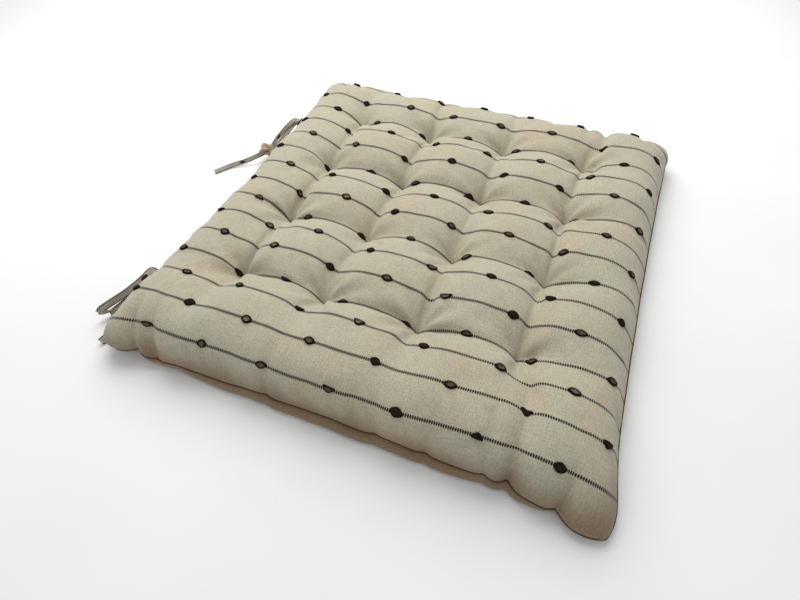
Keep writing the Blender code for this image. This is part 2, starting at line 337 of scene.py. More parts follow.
def relax(pad, flat, plan, tufts_u, tufts_v, steps, cell):
    """Steps of filling pressure along the normals, then thread lengths, seam, tufts, stiffness and floor
    put right."""
    speed = np.zeros_like(pad)
    inside = np.minimum(flat - flat[0, 0], flat[-1, -1] - flat).min(-1)
    share = np.stack([np.clip(inside / 0.030 + 0.15, 0, 1), np.clip(inside / 0.030 + 0.2, 0, 1)])[..., None]
    places = PITCH * (np.arange(4) - 1.5)
    tufts = np.stack(np.meshgrid(places, places, indexing="ij") + [np.zeros((4, 4))], -1) + TUFT_SHIFT
    held = np.ix_(tufts_u, tufts_v)
    top_held, bottom_held = tufts + (0, 0, TUFT_TOP), tufts * (1, 1, 0) + (0, 0, TUFT_BOTTOM)
    pairs = thread_pairs()
    rests = zip(thread_rests(flat, 0.93), thread_rests(plan * UNDER_SLACK, 1.0))
    threads = [(panel, *pair, rest) for pair, both in zip(pairs, rests) for panel, rest in zip((0, 1), both)]
    near, far, right, left, height = rim_target(flat)
    middle = (flat[0, 0] + flat[-1, -1]) / 2
    out = abs(flat - middle) / ((flat[-1, -1] - flat[0, 0]) / 2)
    fill = np.clip(1 - 0.8 * np.maximum(out.sum(-1) - 1.6, 0) / 0.4, 0, 1)
    fill = fill * (1 + 0.12 * smooth_noise(flat.shape[:2], 6, 11))
    beyond = np.clip((abs(flat).max(-1) - 1.5 * FLAT_PITCH) / 0.030, 0, 1)
    stiff = (0.022 + 0.035 * beyond)[..., None]
    for _ in range(steps):
        normals = np.cross(np.gradient(pad, axis=1), np.gradient(pad, axis=2))
        normals = normals * np.array([1, -1])[:, None, None, None]
        thick = np.clip(pad[0, ..., 2] - pad[1, ..., 2], 0, 1)
        push = fill * np.clip(1 - thick / (CROWN * 1.12), 0, 1) * 0.012 / cell
        speed = np.clip((speed + normals * push[..., None] * share) * 0.9, -0.25 * cell, 0.25 * cell)
        before = pad.copy()
        pad = pad + speed
        for _ in range(2):
            for number, one, other, pull, give, rest in threads:
                panel = pad[number]
                step = panel[other] - panel[one]
                long = length_of(step) + 1e-12
                change = (long - rest) / long
                step *= (np.where(change > 0, pull, give) * change * 0.5)[..., None]
                panel[one] += step
                panel[other] -= step
            for edge in EDGES:
                pad[0][edge] = pad[1][edge] = (pad[0][edge] + pad[1][edge]) / 2
            pad[0][held], pad[1][held] = top_held, bottom_held
        flow = np.zeros_like(pad)
        flow[:, 1:-1] += (pad[:, 2:] + pad[:, :-2]) / 2 - pad[:, 1:-1]
        flow[:, :, 1:-1] += (pad[:, :, 2:] + pad[:, :, :-2]) / 2 - pad[:, :, 1:-1]
        pad[:, 1:-1] -= stiff[1:-1] * ((flow[:, 2:] + flow[:, :-2]) / 2 - flow[:, 1:-1])
        pad[:, :, 1:-1] -= stiff[:, 1:-1] * ((flow[:, :, 2:] + flow[:, :, :-2]) / 2 - flow[:, :, 1:-1])
        for panel in pad:
            panel[0, :, 0] += 0.2 * (near - panel[..., 0])[0]
            panel[-1, :, 0] += 0.2 * (far - panel[..., 0])[-1]
            panel[:, 0, 1] += 0.2 * (right - panel[..., 1])[:, 0]
            panel[:, -1, 1] += 0.2 * (left - panel[..., 1])[:, -1]
            for edge in EDGES:
                panel[edge][..., 2] += 0.1 * (height[edge] - panel[edge][..., 2])
        for edge in EDGES:
            pad[0][edge] = pad[1][edge] = (pad[0][edge] + pad[1][edge]) / 2
        pad[..., 2] = np.maximum(pad[..., 2], 0.0)
        speed = (pad - before) * 0.9
    return pad


# %% Stuff the pad, coarse to fine
LEVELS = (((10, 300), (20, 250), (40, 120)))
pad = lines = None
for m, steps in LEVELS:
    u, tufts_u = cloth_lines(m, NEAR, FAR)
    v, tufts_v = cloth_lines(m, SIDE, SIDE)
    flat = flat_panel(u, v)
    guess = first_guess(flat, u, v)
    if pad is None:
        pad = guess
    else:
        pad = resampled(resampled(pad, lines[0], u, 1), lines[1], v, 2)
        pad[0, ..., 2] += 0.0003 * smooth_noise(flat.shape[:2], 60, m)
    pad, lines = relax(pad, flat, guess[0, ..., :2], tufts_u, tufts_v, steps, FLAT_PITCH / m), (u, v)
    points = pad.reshape(-1, 3)
    print("cells to a pitch", m, "box", points.min(0).round(4), points.max(0).round(4))

# %% [markdown]
# Real filling is lumpy, and cloth puckers where a stitch or a seam gathers it. Those small forms are finer
# than the solver's threads can carry, so they are added to its result as height along the cloth's normals.

# %% Lumps and puckers
top_grid, bottom_grid = pad


def grid_normals(grid):
    """Unit normals of a grid: the cross product of its steps in both directions."""
    return unit(np.cross(np.gradient(grid, axis=0), np.gradient(grid, axis=1)))


# Creases square to the near seam: place along it, depth, half width and how far in they reach.
NEAR_CREASES = ((-0.139, 0.0066, 0.0056, 0.105), (-0.119, 0.0026, 0.0040, 0.055),
                (-0.176, 0.0055, 0.0058, 0.030), (0.174, 0.0055, 0.0050, 0.036),
                (0.157, 0.0022, 0.0040, 0.055), (0.047, 0.0018, 0.0040, 0.045),
                (-0.040, 0.0016, 0.0038, 0.036), (-0.083, 0.0020, 0.0038, 0.028))


def small_forms(flat, seed, height=0.0008):
    """Height in metres: smooth lumps, plus folds that fan out from each tuft as a cosine of the angle,
    fading as a bell curve, plus puckers square to the seam that die out 20 mm from it, less a few deeper
    creases as pointed grooves."""
    pick = np.random.default_rng(seed)
    shape = flat.shape[:2]
    lumps = 0.9 * smooth_noise(shape, 14, seed + 1) + 0.35 * smooth_noise(shape, 36, seed + 2)
    fans = 0 * lumps
    for x in FLAT_PITCH * (np.arange(4) - 1.5):
        for y in FLAT_PITCH * (np.arange(4) - 1.5):
            away = flat - (x, y)
            angle, far = np.arctan2(away[..., 1], away[..., 0]), length_of(away)
            folds = np.cos(pick.integers(5, 9) * angle + pick.uniform(0, 6.3)) * pick.uniform(0.6, 1.3)
            folds = folds + 0.8 * np.cos(3 * angle + pick.uniform(0, 6.3))
            fans = fans + folds * (far / 0.010) ** 2 * np.exp(-((far / 0.016) ** 1.5))
    inside = np.minimum(flat - flat[0, 0], flat[-1, -1] - flat)
    gather = (np.sin(flat[..., 1] * 290 + 2.5 * lumps) * np.exp(-((inside[..., 0] / 0.018) ** 2))
              + np.sin(flat[..., 0] * 310 + 2.5 * lumps) * np.exp(-((inside[..., 1] / 0.018) ** 2)))
    gather = gather * (1 + smooth_noise(shape, 20, seed + 3)) * 0.6
    creases = 0 * lumps
    for along, deep, wide, reach in NEAR_CREASES:
        line = (flat[..., 1] - along - 0.06 * (inside[..., 0] - 0.05) * np.sin(along * 90)) / wide
        creases = creases - deep * np.exp(-(abs(line) ** 1.35)) * np.exp(-((inside[..., 0] / reach) ** 4))
    rim = np.clip(inside.min(-1) / 0.006, 0, 1)
    return height * (lumps + 1.5 * fans + gather) * rim, creases


def softened(grid, axis, cells):
    """The grid averaged over this many cells each way along one axis, its ends repeated outwards."""
    reach = np.pad(grid, [(cells, cells) if n == axis else (0, 0) for n in range(3)], mode="edge")
    width = 2 * cells + 1
    return sum(np.take(reach, np.arange(grid.shape[axis]) + n, axis) for n in range(width)) / width


def calmer_borders(grid, flat):
    """The left and far borders are stuffed fuller, so their valleys are half filled: part of the grid's
    outward and upward places comes from a long average along the edge, by a ramp from the outer tufts out
    and not in the corners."""
    for axis, way, share in ((0, 1, 0.8), (1, 0, 0.35)):
        past, along = flat[..., way] - 1.5 * FLAT_PITCH, abs(flat[..., 1 - way]) - 1.5 * FLAT_PITCH
        weight = share * np.clip((past - 0.004) / 0.018, 0, 1) * np.clip(1 - along / 0.03, 0, 1)
        calm = softened(grid, axis, m // 2)
        keep = np.array([1.0, 1.0, 1.0])
        keep[axis] = 0.0
        grid = grid + weight[..., None] * keep * (calm - grid)
    return grid


top_grid, bottom_grid = calmer_borders(top_grid, flat), calmer_borders(bottom_grid, flat)
for grid, way, seed in ((top_grid, 1.0, 21), (bottom_grid, -1.0, 41)):
    form, creases = small_forms(flat, seed)
    normals = way * grid_normals(grid)
    sunk = np.exp(-(((flat[..., 0] - flat[0, :, 0]) / 0.012) ** 2))[..., None]
    direction = (1.0 if way > 0 else 0.2) * (1 - sunk) * normals + sunk * (-1, 0, 0)
    grid += (1.0 if way > 0 else 0.6) * form[..., None] * normals + creases[..., None] * direction
bottom_grid[..., 2] = np.maximum(bottom_grid[..., 2], 0.0)
for edge in EDGES:
    bottom_grid[edge] = top_grid[edge]

# %% [markdown]
# ## Writing shader maths as sums
# A pattern that is worked out, such as the stripes, needs many Math nodes. Placed one by one they are hard to
# read. A small class that wraps a node's output lets a pattern be written as an ordinary expression, and adds
# the Math nodes itself.

# %% A socket with arithmetic


class Field:
    """A shader output that can be added, multiplied and compared like a number, or used to add any other
    node."""

    def __init__(self, tree, socket=None):
        self.tree, self.socket = tree, socket

    def node(self, kind, settings=None, inputs=None, output=0):
        """Adds a node of this type with its settings, then its socket values or links."""
        made = self.tree.nodes.new(kind)
        for key, value in (settings or {}).items():
            setattr(made, key, value)
        for key, value in (inputs or {}).items():
            if isinstance(value, Field):
                self.tree.links.new(value.socket, made.inputs[key])
            else:
                made.inputs[key].default_value = value
        return Field(self.tree, made.outputs[output])

    def output(self, number):
        """Another output of the same node."""
        return Field(self.tree, self.socket.node.outputs[number])

    def math(self, operation, *values):
        return self.node("ShaderNodeMath", {"operation": operation}, dict(enumerate(values)))

    def __rsub__(self, other):
        return self.math("SUBTRACT", other, self)

    def between(self, low, high):
        """0 at low, 1 at high, and a smooth step from one to the other."""
        settings = {"interpolation_type": "SMOOTHSTEP"}
        return self.node("ShaderNodeMapRange", settings, {0: self, 1: low, 2: high})

    def mixed(self, first, second):
        """A colour from first to second as this value goes from 0 to 1."""
        first, second = ((*c, 1) if isinstance(c, tuple) else c for c in (first, second))
        return self.node("ShaderNodeMix", {"data_type": "RGBA"}, {0: self, 6: first, 7: second}, 2)

    def tinted(self, colour, share):
        """This colour multiplied by another, for a share of the way."""
        colour = (*colour, 1) if isinstance(colour, tuple) else colour
        settings = {"data_type": "RGBA", "blend_type": "MULTIPLY"}
        return self.node("ShaderNodeMix", settings, {0: share, 6: self, 7: colour}, 2)


# The other operators, and four plain functions, are one Math node each, with this field as its first value.
OPERATIONS = {"__add__": "ADD", "__sub__": "SUBTRACT", "__mul__": "MULTIPLY", "__rmul__": "MULTIPLY",
              "__truediv__": "DIVIDE", "__pow__": "POWER", "__abs__": "ABSOLUTE", "__gt__": "GREATER_THAN",
              "lower": "MINIMUM", "higher": "MAXIMUM", "fraction": "FRACT", "sine": "SINE"}
for method, operation in OPERATIONS.items():
    setattr(Field, method, lambda self, *others, operation=operation: self.math(operation, self, *others))


def new_material(name, **constants):
    """A material with its Principled shader's fixed values set on its own sockets, and a Field to build
    on."""
    material = bpy.data.materials.new(name)
    material.use_nodes = True
    shader = material.node_tree.nodes["Principled BSDF"]
    for key, value in constants.items():
        shader.inputs[key.replace("_", " ").title().replace("Ior", "IOR")].default_value = value
    return material, Field(material.node_tree), shader


def connect(field, shader, socket):
    field.tree.links.new(field.socket, shader.inputs[socket])


def bump(start, height, distance, strength=1.0):
    """A Bump node: height is between 0 and 1, and distance is what 1 stands for in metres."""
    return start.node("ShaderNodeBump", None, {"Height": height, "Distance": distance, "Strength": strength})


# %% [markdown]
# ## The cloth
# The cover is a plain weave of undyed yarn, with a dark cord woven in as a ladder of short bars every
# 28 mm. An image would fix it at one size. Here it is worked out from cloth coordinates in metres, so the
# threads run with the folds. Each yarn has its own thickness and tone, which comes from noise drawn out
# along it.

# %% The weave and its stripes
YARN = 0.00085
BAR = 0.00165  # between two bars of a stripe
DARK = (0.026, 0.015, 0.010)


def cloth_places(start):
    """Across and along the cloth, in metres from its middle, out of the piece's own UV map."""
    uv = start.node("ShaderNodeUVMap", {"uv_map": "cloth"})
    split = start.node("ShaderNodeSeparateXYZ", None, {0: uv})
    across = split.output(0) * CLOTH_SPAN - CLOTH_SPAN / 2
    along = split.output(1) * CLOTH_SPAN - CLOTH_SPAN / 2
    return across, along


def noise(start, x, y, scale_x, scale_y, detail=1.0, seed=0.0, roughness=0.5):
    """Noise on cloth places, scale_x and scale_y spots to a metre each way. It runs from 0 to 1, mostly
    near 0.5."""
    place = start.node("ShaderNodeCombineXYZ", None, {0: x * scale_x, 1: y * scale_y, 2: seed})
    return start.node("ShaderNodeTexNoise", {"noise_dimensions": "3D"},
                      {"Vector": place, "Scale": 1.0, "Detail": detail, "Roughness": roughness})


def weave(start, across, along):
    """Tone and height of a plain weave: each yarn's ridge is a sine, and its slubs are noise drawn out
    along it."""
    warp = noise(start, across, along, 1 / YARN, 110.0, 1.0, 3.0)
    weft = noise(start, across, along, 110.0, 1 / YARN, 1.0, 8.0)
    ridges = ((across * (2 * math.pi / YARN)).sine() * (along * (2 * math.pi / YARN)).sine()) * 0.5 + 0.5
    specks = noise(start, across, along, 900.0, 900.0, 2.0, 5.0)
    tone = (warp + weft - 1.0) * 1.1 + (ridges - 0.5) * 0.16 + (specks - 0.5) * 2.3
    return tone, ridges * 0.6 + warp * 0.2 + weft * 0.2


def pulled(across, along, clip):
    """How far the weave is pulled inwards near the drooping corner: a ramp in from the edge times one along
    it."""
    return DROOP_SIDE * clip(along * (-1 / 0.15)) * clip(across * (-1 / 0.05) - 0.13 / 0.05)


SEAM_ALLOWANCE = -FLAT_PITCH * (1.5 + NEAR) + 0.010  # the stripe nearer the edge than this is sewn in


def stripes(start, across, along, shift=0.0):
    """1 on a dark bar and 0 off it. Bars repeat along a stripe, and a fainter line joins them down the
    middle."""
    wander = (noise(start, across, along, 5.0, 45.0, 1.0, 21.0) - 0.5) * 0.0012
    across = across - pulled(across, along, lambda x: x.higher(0.0).lower(1.0))
    place = (across + wander) / THIRD + (8.0 + shift)
    off = (place.fraction() - 0.5) * THIRD
    bars = abs((along / BAR).fraction() - 0.5)
    bar = (1 - bars.between(0.27, 0.34)) * (1 - abs(off).between(0.00120, 0.00145))
    line = (1 - abs(off).between(0.0002, 0.0007)) * 0.8
    return bar.higher(line) * (across > SEAM_ALLOWANCE)


def cover_material(name, light, shift=0.0):
    """The cloth of a panel: weave tone and warm and cool patches over a base, painted brown shade low on
    the sides and most on the near side, and dark stripes on top."""
    material, start, shader = new_material(name, roughness=0.92, sheen_weight=0.25, sheen_roughness=0.6,
                                           specular_ior_level=0.12)
    across, along = cloth_places(start)
    tone, height = weave(start, across, along)
    patches = noise(start, across, along, 16.0, 16.0, 2.0, 31.0)
    cool = noise(start, across, along, 11.0, 22.0, 2.0, 47.0)
    base = patches.between(0.44, 0.66).mixed(light, (light[0] * 1.02, light[1] * 0.955, light[2] * 0.925))
    base = cool.between(0.48, 0.66).mixed(base, (light[0] * 0.965, light[1], light[2]))
    base = (tone * 0.9 + 0.5).between(0.0, 1.0).mixed(base.tinted((0.74, 0.72, 0.68), 1.0), base)
    # Painted shade: low on the pad, and most on the near side, the cloth is tinted darker and browner for the
    # shade and warm bounced light that fall there.
    level = start.node("ShaderNodeSeparateXYZ", None, {0: start.node("ShaderNodeTexCoord", output=3)})
    low = 1 - level.output(2).between(0.010, 0.036)
    near = 1 - level.output(0).between(-0.205, -0.165)
    base = base.tinted((0.52, 0.39, 0.30), low * (near * 0.65 + 0.35))
    mask = stripes(start, across, along, shift)
    connect(mask.mixed(base, DARK), shader, "Base Color")
    connect(bump(start, (height * 0.35 + mask * 0.65), 0.0007, 0.55), shader, "Normal")
    return material


CLOTH_LIGHT = (0.54, 0.503, 0.380)
cover_cloth = cover_material("striped_cloth", CLOTH_LIGHT)
under_cloth = cover_material("striped_cloth_under", CLOTH_LIGHT, 0.4)
print("stripes every", round(THIRD * 1000, 1), "mm")

# %% [markdown]
# ## Covers and filling
# The two panels are the solver's grids. They share the points of the seam, so nothing shows between them, and
# a thin Solidify gives them the thickness of the cloth on the inside. The filling is the same shape drawn in.

# %% Covers and filling
SEAM_GROOVE = 0.0006


def in_groove(grid):
    """The seam row drawn in towards the pad's middle, so that the stitches lie in a groove between the
    panels."""
    grid = grid.copy()
    for edge, way in zip(EDGES, ((1, 0, 0), (-1, 0, 0), (0, 1, 0), (0, -1, 0))):
        grid[edge] += SEAM_GROOVE * np.array(way)
    return grid


top_grid, bottom_grid = in_groove(top_grid), in_groove(bottom_grid)
rows, columns = flat.shape[:2]
panel_faces = faces_of(rows, columns)


def cover(name, grid, faces, material, node):
    piece = new_mesh(name, grid, faces, cloth=flat)
    thick = piece.modifiers.new("cloth thickness", "SOLIDIFY")
    thick.thickness, thick.offset = 0.0005, -1.0
    return finished(piece, "cover_cloth", material, node)


cover("striped_top_cover", top_grid, panel_faces, cover_cloth, "top_cover")
cover("striped_bottom_cover", bottom_grid, panel_faces[:, ::-1], under_cloth, "bottom_cover")


def make_filling():
    """Both panels drawn in along their normals by more than the cloth's thickness, and joined at
    the seam row."""
    upper = top_grid - 0.0009 * grid_normals(top_grid)
    lower = bottom_grid + 0.0009 * grid_normals(bottom_grid)
    for edge in EDGES:
        upper[edge] = lower[edge] = top_grid[edge] * (0.99, 0.99, 1)
    cells = faces_of(rows, columns)
    points, faces = joined([(upper, cells), (lower, cells[:, ::-1])])
    piece = new_mesh("loose_fibre_fill", points, faces)
    merge = piece.modifiers.new("join at the seam", "WELD")
    merge.merge_threshold = 0.00005
    material, start, shader = new_material("fibre", roughness=1.0, sheen_weight=0.4)
    place = start.node("ShaderNodeTexCoord", output=3)
    strands = start.node("ShaderNodeTexNoise", None,
                         {"Vector": place, "Scale": 260.0, "Detail": 5.0, "Distortion": 1.5})
    connect(strands.between(0.3, 0.7).mixed((0.62, 0.60, 0.56), (0.84, 0.83, 0.80)), shader, "Base Color")
    connect(bump(start, strands, 0.002), shader, "Normal")
    return finished(piece, "fibre", material, "fibre_fill")


make_filling()

# %% [markdown]
# ## Laying things on the cloth
# Thread knots, stitches and marks sit on the folded cloth but are placed on the flat one, where their
# pattern is regular. A ray could look for the surface. Reading the grid between its four nearest points is
# simpler, and every point of a knot can be read at once, so each knot bends with the cloth under it.

# %% Find places on the folded cloth


def on_cloth(grid, across, along, lift=0.0):
    """The folded place of flat cloth places: a mix of the four grid points around each, raised along the
    normal there."""
    at_u = np.interp(across, lines[0], np.arange(rows))
    at_v = np.interp(along, lines[1], np.arange(columns))
    i, j = np.clip(at_u.astype(int), 0, rows - 2), np.clip(at_v.astype(int), 0, columns - 2)
    p, q = (at_u - i)[..., None], (at_v - j)[..., None]
    normals = grid_normals(grid)

    def mixed(values):
        return ((values[i, j] * (1 - p) + values[i + 1, j] * p) * (1 - q)
                + (values[i, j + 1] * (1 - p) + values[i + 1, j + 1] * p) * q)

    return mixed(grid) + unit(mixed(normals)) * np.asarray(lift)[..., None]


# %% [markdown]
# ## Thread knots
# At every second or third finger's width along a stripe the dark cord is left loose in a small lozenge that
# stands up from the cloth. Most are open rings with a paler middle, some are drawn solid and some are bent.
# Two tuft pitches hold three of them, and neighbouring stripes are half a step apart.

# %% Thread knots
KNOT_STEP = 0.0547
KNOT_START = 0.1610
KNOT_LONG, KNOT_WIDE, KNOT_HIGH = 0.0049, 0.0034, 0.0017
KNOT_RINGS, KNOT_SIDES = 4, 12
KNOT_POINTS = KNOT_RINGS * KNOT_SIDES + 1  # and one in the middle
OPEN_SHARE, BENT_SHARE = 0.6, 0.16  # of all knots


def knot_places(seed, shift=0.0, phase=0.0):
    """Flat places of the knots, stripe by stripe, with a little scatter, those close to the seam left out."""
    scatter = np.random.default_rng(seed)
    stripe, along = np.meshgrid(np.arange(-1, 17), np.arange(-2, 9), indexing="ij")
    across = (stripe - 7.5 - shift) * THIRD + scatter.uniform(-0.0003, 0.0003, stripe.shape)
    places = KNOT_START + phase + np.where(stripe % 2, KNOT_STEP / 2, 0) - KNOT_STEP * along
    places = places + scatter.uniform(-0.0015, 0.0015, stripe.shape)
    keep = across > (SEAM_ALLOWANCE if shift == 0 else lines[0][0] + 0.004)
    across = across + pulled(across, places, lambda x: np.clip(x, 0, 1))
    keep &= (across > lines[0][0] + 0.004) & (across < lines[0][-1] - 0.004)
    keep &= abs(places) < lines[1][-1] - 0.006
    return across[keep], places[keep]


def make_knots(name, grid, seed, shift=0.0, phase=0.0, side=1.0):
    """Each knot is four rings of a lozenge, where ring s lies at size r(s) and height h(s), bent by the
    square of its length. Dip is how far the middle lies below the rim: near 0 for a solid knot, near 1 for
    an open ring."""
    across, along = knot_places(seed, shift, phase)
    pick = np.random.default_rng(seed + 1)
    count = len(across)
    dip = np.where(pick.random(count) < OPEN_SHARE, pick.uniform(0.55, 0.95, count),
                   pick.uniform(0.0, 0.2, count))
    bend = np.where(pick.random(count) < BENT_SHARE,
                    pick.choice([-1, 1], count) * pick.uniform(55, 95, count), pick.uniform(-12, 12, count))
    long = KNOT_LONG * pick.uniform(0.88, 1.12, count)
    wide = KNOT_WIDE * pick.uniform(0.82, 1.12, count) * np.where(abs(bend) > 50, 0.78, 1.0)
    turn = pick.uniform(-0.18, 0.18, count)
    angle = np.linspace(0, 2 * np.pi, KNOT_SIDES, endpoint=False)
    power = 1.25
    outline = np.stack([np.sign(np.cos(angle)) * abs(np.cos(angle)) ** power,
                        np.sign(np.sin(angle)) * abs(np.sin(angle)) ** power], -1)
    ring_size = np.array([1.0, 0.90, 0.66, 0.44])[None, :, None]
    ring_high = np.stack([0 * dip - 0.15, 0 * dip + 0.72, 1.0 + 0 * dip, 1.0 - 0.75 * dip], -1)[:, :, None]
    a = ring_size * outline[None, None, :, 0] * long[:, None, None]
    b = ring_size * outline[None, None, :, 1] * wide[:, None, None] + bend[:, None, None] * a**2
    a, b = a - b * turn[:, None, None], b + a * turn[:, None, None]
    lift = side * KNOT_HIGH * (ring_high + 0 * a)
    points = on_cloth(grid, across[:, None, None] + b, along[:, None, None] + a, lift)
    middle = on_cloth(grid, across, along, side * KNOT_HIGH * (1.0 - 0.85 * dip))[:, None]
    points = np.concatenate([points.reshape(count, -1, 3), middle], 1)
    points[..., 2] = np.maximum(points[..., 2], 0.0001)
    cells = faces_of(KNOT_RINGS, KNOT_SIDES, wrap_columns=True)
    inner = KNOT_SIDES * (KNOT_RINGS - 1)
    spoke = np.arange(KNOT_SIDES)
    fan = np.stack([inner + spoke, inner + (spoke + 1) % KNOT_SIDES, 0 * spoke + KNOT_POINTS - 1], -1)
    own = cells.tolist() + fan[:, ::-1].tolist()
    faces = [[corner + KNOT_POINTS * knot for corner in face] for knot in range(count) for face in own]
    pale = np.repeat([0, 0, 0, 0.9, 1.0], [KNOT_SIDES] * KNOT_RINGS + [1])[None] * dip[:, None] ** 2
    piece = new_mesh(name, points, faces, attributes={"pale": pale})
    return finished(piece, "cover_cloth", knot_thread)


def thread_material(name, dark, light, strand=0.0007):
    """Twisted thread: fine strands from noise on the place, and a paler tone where the attribute
    says so."""
    material, start, shader = new_material(name, roughness=0.9, specular_ior_level=0.08)
    place = start.node("ShaderNodeTexCoord", output=3)
    fibres = start.node("ShaderNodeTexNoise", None, {"Vector": place, "Scale": 0.6 / strand, "Detail": 3.0})
    pale = start.node("ShaderNodeAttribute", {"attribute_name": "pale"}, output=2)
    base = pale.mixed(dark, light)
    base = fibres.between(0.3, 0.7).mixed(base.tinted((0.55, 0.52, 0.5), 1.0), base)
    connect(base, shader, "Base Color")
    connect(bump(start, fibres, 0.0004, 0.8), shader, "Normal")
    return material


knot_thread = thread_material("dark_thread", (0.022, 0.012, 0.008), (0.30, 0.235, 0.175))
make_knots("thread_knots_top", top_grid, 5)
make_knots("thread_knots_underside", bottom_grid, 9, shift=0.4, phase=-0.0075, side=-1.0)

# %% [markdown]
# ## Seam and tufts
# The seam shows as one fine brown line low on the side, where thread lies in the groove between the panels.
# Each tuft is a bundle of thread through the whole pad with a short stitch at each end.

# %% Seam thread and tuft stitches


def seam_route():
    """Once round the seam row: near, right, far and left edge, ends joined."""
    return np.concatenate([top_grid[:-1, 0], top_grid[-1, :-1], top_grid[:0:-1, -1], top_grid[0, :0:-1]])


brown_thread = thread_material("brown_thread", (0.16, 0.095, 0.050), (0.16, 0.095, 0.050))
tan_thread = thread_material("tan_thread", (0.40, 0.34, 0.24), (0.40, 0.34, 0.24))
route = seam_route()
route = route + 0.0004 * unit(route - [0, 0, SEAM_HEIGHT]) * (1, 1, 0)
points, faces = carried(route, round_profile(0.00055, 6), closed=True)
finished(new_mesh("seam_stitching", points, faces), "seam_thread", brown_thread, "seam_thread")


def tuft_stitch(number, i, j):
    """A twisted bundle down through the pad, and at each end three short strands that rise in the middle."""
    top, bottom = top_grid[tufts_u[i], tufts_v[j]], bottom_grid[tufts_u[i], tufts_v[j]]
    share = np.linspace(0, 1, 12)[:, None]
    parts = [carried(top * (1 - share) + bottom * share, round_profile(0.0008, 6))]
    pick = np.random.default_rng(100 + number)
    lean = pick.uniform(-0.5, 0.5)
    for end, way in ((top, 1.0), (bottom, -1.0)):
        for strand in (-1, 0, 1):
            run = np.linspace(-1, 1, 9)
            across = 0.0007 * strand + 0.0003 * run * strand
            x = across * math.cos(lean) - 0.0024 * run * math.sin(lean)
            y = across * math.sin(lean) + 0.0024 * run * math.cos(lean)
            z = way * (0.0004 + (0.0007 if way > 0 else 0.0009) * (1 - run**2))
            path = end + np.stack([x, y, z + 0 * run], -1)
            path[:, 2] = np.maximum(path[:, 2], 0.0006)
            parts.append(carried(path, round_profile(0.00042, 6)))
    points, faces = joined(parts)
    piece = new_mesh(f"tuft_stitch_{number:02d}", points, faces)
    return finished(piece, "tuft_thread", tan_thread, f"tuft_thread_{number:02d}")


for j in range(4):
    for i in range(4):
        tuft_stitch(4 * j + i + 1, i, j)

# %% [markdown]
# ## Ties
# Each tie is a strip of the same cloth folded to a narrow tape and sewn flat, so its edge shows a dark stripe
# and here and there a knot of cord. A curve with a bevel would twist where it likes. A flat profile carried
# along the route, with the tape's turn given at a few places, puts each fold where it should be.

# %% Ties
TIE_X = {"left": -0.1415, "right": 0.1180}
TIE_ROOT_Y, TIE_REST_Z = 0.2029, 0.0017
ROOT_HEIGHT = {"upper": 0.0179, "lower": 0.0141}
TAPE_WIDTH, TAPE_THICK = {"left": 0.0066, "right": 0.0050}, 0.0015
TAPE_CLOTH = 0.0080  # width of cloth that a tape's pattern shows

INSIDE_SEAM = (0, -0.0045, 1)  # where every tie starts, caught between the panels

# Along X from the root, out past it, and the share of the root's height. The right pair repeats the frame's
# routes. The left pair lies closer to the pad than the frame's tubes do, and folds back at other places.
TIE_ROUTES = {
    "right_upper": [(0, 0, 1), (0, 0.0050, 1), (-0.013, 0.0065, 1), (-0.033, 0.0080, 0.84),
                    (-0.0545, 0.0085, 0.62), (-0.066, 0.0180, 0.42), (-0.074, 0.0285, 0.20),
                    (-0.085, 0.0420, 0.05), (-0.0995, 0.0525, 0)],
    "right_lower": [(0, 0, 1), (0, 0.0050, 1), (-0.013, 0.0050, 0.95), (-0.033, 0.0045, 0.80),
                    (-0.0545, 0.0045, 0.55), (-0.070, 0.0035, 0.16), (-0.088, 0.0010, 0),
                    (-0.108, 0.0005, 0), (-0.128, 0.0035, 0)],
    "left_upper": [(0, 0, 1), (0, 0.0045, 1), (-0.0120, 0.0060, 0.95),
                   (-0.0250, 0.0102, 0.83), (-0.0370, 0.0158, 0.74), (-0.0455, 0.0198, 0.67),
                   (-0.0490, 0.0213, 0.62), (-0.0506, 0.0219, 0.50), (-0.0490, 0.0210, 0.37),
                   (-0.0455, 0.0192, 0.30), (-0.0400, 0.0150, 0.24), (-0.0385, 0.0110, 0.12),
                   (-0.0440, 0.0078, 0.02), (-0.0530, 0.0055, 0), (-0.0630, 0.0045, 0), (-0.0723, 0.0055, 0)],
    "left_lower": [(0, 0, 1), (0, 0.0045, 1), (-0.0115, 0.0050, 0.82),
                   (-0.0245, 0.0076, 0.62), (-0.0345, 0.0118, 0.46), (-0.0420, 0.0146, 0.36),
                   (-0.0448, 0.0156, 0.29), (-0.0456, 0.0157, 0.18), (-0.0440, 0.0148, 0.07),
                   (-0.0405, 0.0130, 0.01), (-0.0310, 0.0090, 0), (-0.0180, 0.0078, 0), (-0.0060, 0.0075, 0)],
}
# How far each tape is turned on edge, in degrees, at shares of its length.
TAPE_TURNS = {
    "right_upper": [(0, 0), (0.15, 60), (0.45, 80), (0.6, 65), (0.8, 40), (1, 25)],
    "right_lower": [(0, 0), (0.2, 50), (0.45, 70), (0.6, 20), (1, 0)],
    "left_upper": [(0, 0), (0.15, 45), (0.45, 70), (0.6, 50), (0.8, 20), (1, 45)],
    "left_lower": [(0, 0), (0.2, 45), (0.5, 65), (0.7, 20), (1, 0)],
}


def tape_profile(width):
    """A flat rounded section: half the width times cosine to the power 0.4, half the thickness times the
    root of sine."""
    angle = np.linspace(0, 2 * np.pi, 16, endpoint=False) + np.pi / 16
    across, up = np.cos(angle), np.sin(angle)
    return np.stack([width / 2 * np.sign(across) * abs(across) ** 0.4,
                     TAPE_THICK / 2 * np.sign(up) * abs(up) ** 0.5], -1)


